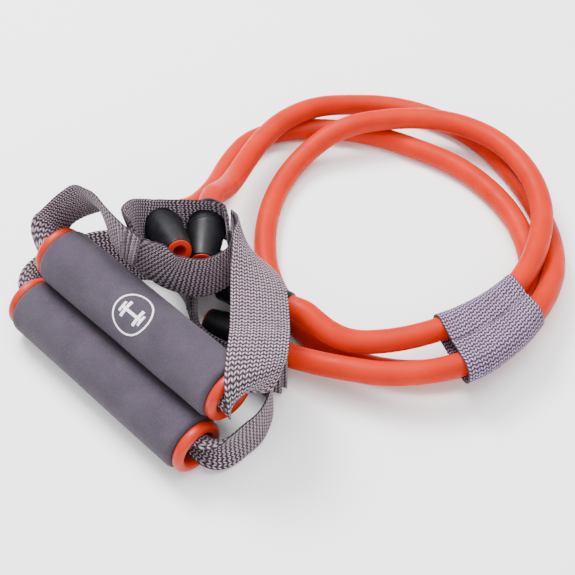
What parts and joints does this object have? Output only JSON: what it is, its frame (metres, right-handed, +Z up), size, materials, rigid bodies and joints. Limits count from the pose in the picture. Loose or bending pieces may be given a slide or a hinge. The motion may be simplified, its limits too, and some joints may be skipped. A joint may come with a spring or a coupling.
{
  "type": "resistance band",
  "caption": "Looped rubber tube resistance band with foam grips in webbing handles, rubber boots at the tube ends and a webbing keeper sleeve.",
  "frame": {"origin": "on the floor under the middle of the lower grip", "axes": "+Z up, +X along both grips, +Y from the grips towards the loop of tube"},
  "size_m": [0.2329, 0.3033, 0.0886],
  "materials": {
    "foam": "closed-cell foam, fine speckled skin",
    "core_plastic": "matte",
    "orange_plastic": "satin moulded",
    "boot_rubber": "matte moulded",
    "tube_rubber": "smooth latex, soft sheen",
    "webbing": "woven ribbed webbing"
  },
  "bodies": {
    "root": {"upper_left_boot": "boot_rubber", "upper_left_tube_end": "tube_rubber", "upper_right_boot": "boot_rubber", "upper_right_tube_end": "tube_rubber", "lower_left_boot": "boot_rubber", "lower_left_tube_end": "tube_rubber", "lower_right_boot": "boot_rubber", "lower_right_tube_end": "tube_rubber", "upper_strap": "webbing", "upper_pocket_front": "webbing", "upper_pocket_back": "webbing", "lower_strap": "webbing", "lower_pocket_front": "webbing", "lower_pocket_back": "webbing", "tube_long": "tube_rubber", "tube_short": "tube_rubber", "keeper_sleeve": "webbing"},
    "upper_grip": {"upper_grip_foam": "foam", "upper_grip_core": "core_plastic", "upper_grip_cap_left": "orange_plastic", "upper_grip_cap_right": "orange_plastic"},
    "lower_grip": {"lower_grip_foam": "foam", "lower_grip_core": "core_plastic", "lower_grip_cap_left": "orange_plastic", "lower_grip_cap_right": "orange_plastic"}
  },
  "joints": [
    {"name": "upper_grip_spin", "type": "hinge", "parent": "root", "child": "upper_grip", "pos_m": [0.002, 0.0222, 0.0413], "axis": [1, 0, 0], "continuous": true},
    {"name": "lower_grip_spin", "type": "hinge", "parent": "root", "child": "lower_grip", "pos_m": [0, 0, 0.0165], "axis": [1, 0, 0], "continuous": true}
  ]
}
